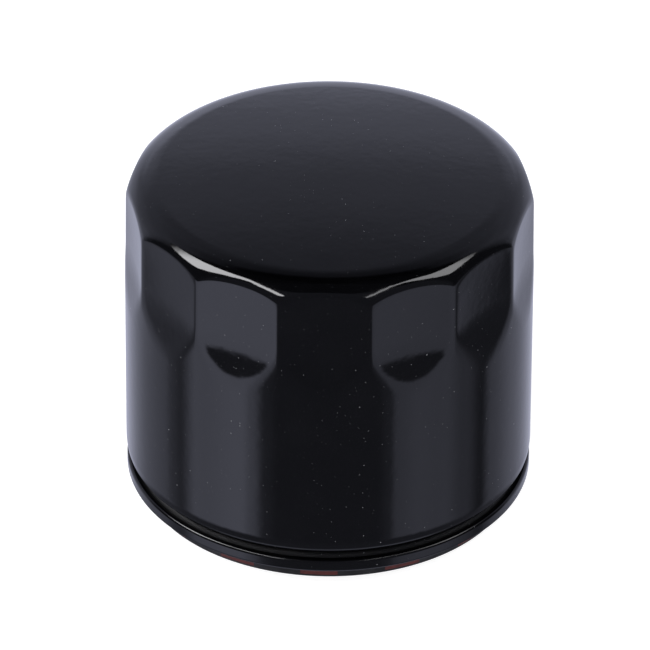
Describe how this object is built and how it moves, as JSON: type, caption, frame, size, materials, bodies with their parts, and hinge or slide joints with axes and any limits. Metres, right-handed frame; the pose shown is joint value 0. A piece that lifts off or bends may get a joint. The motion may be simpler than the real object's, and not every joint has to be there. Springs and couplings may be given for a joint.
{
  "type": "oil filter",
  "caption": "Short spin-on engine oil filter: domed black canister with wrench flats, rolled seam, ring gasket and threaded base.",
  "frame": {"origin": "centre of the gasket's sealing face, where the filter meets the engine", "axes": "+Z along the filter's axis towards the domed end; -Y faces the middle of one wrench flat; right-handed"},
  "size_m": [0.076, 0.076, 0.0665],
  "materials": {
    "black_paint": "gloss black enamel over drawn steel",
    "lid_paint": "black enamel over rolled steel",
    "seam_compound": "cured sealing compound",
    "plate_steel": "zinc-plated steel",
    "gasket_rubber": "nitrile rubber, lightly greased",
    "valve_rubber": "silicone rubber",
    "tinned_steel": "tin-plated sheet",
    "adhesive": "cast plastisol",
    "filter_paper": "resin-treated pleated paper",
    "valve_plastic": "moulded nylon",
    "seal_rubber": "nitrile rubber",
    "spring_steel": "drawn spring wire and strip"
  },
  "bodies": {
    "filter_body": {"can": "black_paint", "seaming_lid": "lid_paint", "seam_compound": "seam_compound", "base_plate": "plate_steel", "spot_welds": "plate_steel", "gasket": "gasket_rubber", "lower_end_cap": "tinned_steel", "lower_adhesive": "adhesive", "pleated_paper": "filter_paper", "pleat_clip": "tinned_steel", "centre_tube": "tinned_steel", "upper_adhesive": "adhesive", "upper_end_cap": "tinned_steel", "bypass_seat": "tinned_steel", "bypass_cage": "tinned_steel", "bypass_spring": "spring_steel", "element_spring": "spring_steel"},
    "bypass_valve": {"bypass_poppet": "valve_plastic", "bypass_seal": "seal_rubber"},
    "drainback_flap": {"drainback_valve": "valve_rubber"}
  },
  "joints": [
    {"name": "bypass_lift", "type": "slide", "parent": "filter_body", "child": "bypass_valve", "axis": [0, 0, -1], "range_m": [0, 0.0035], "stiffness_N_per_m": 1500, "springref_m": -0.0042, "deforming": ["bypass_spring"]},
    {"name": "drainback_lift", "type": "slide", "parent": "filter_body", "child": "drainback_flap", "axis": [0, 0, 1], "range_m": [0, 0.0012], "stiffness_N_per_m": 300, "springref_m": -0.0004, "deforming": ["drainback_valve"]}
  ]
}
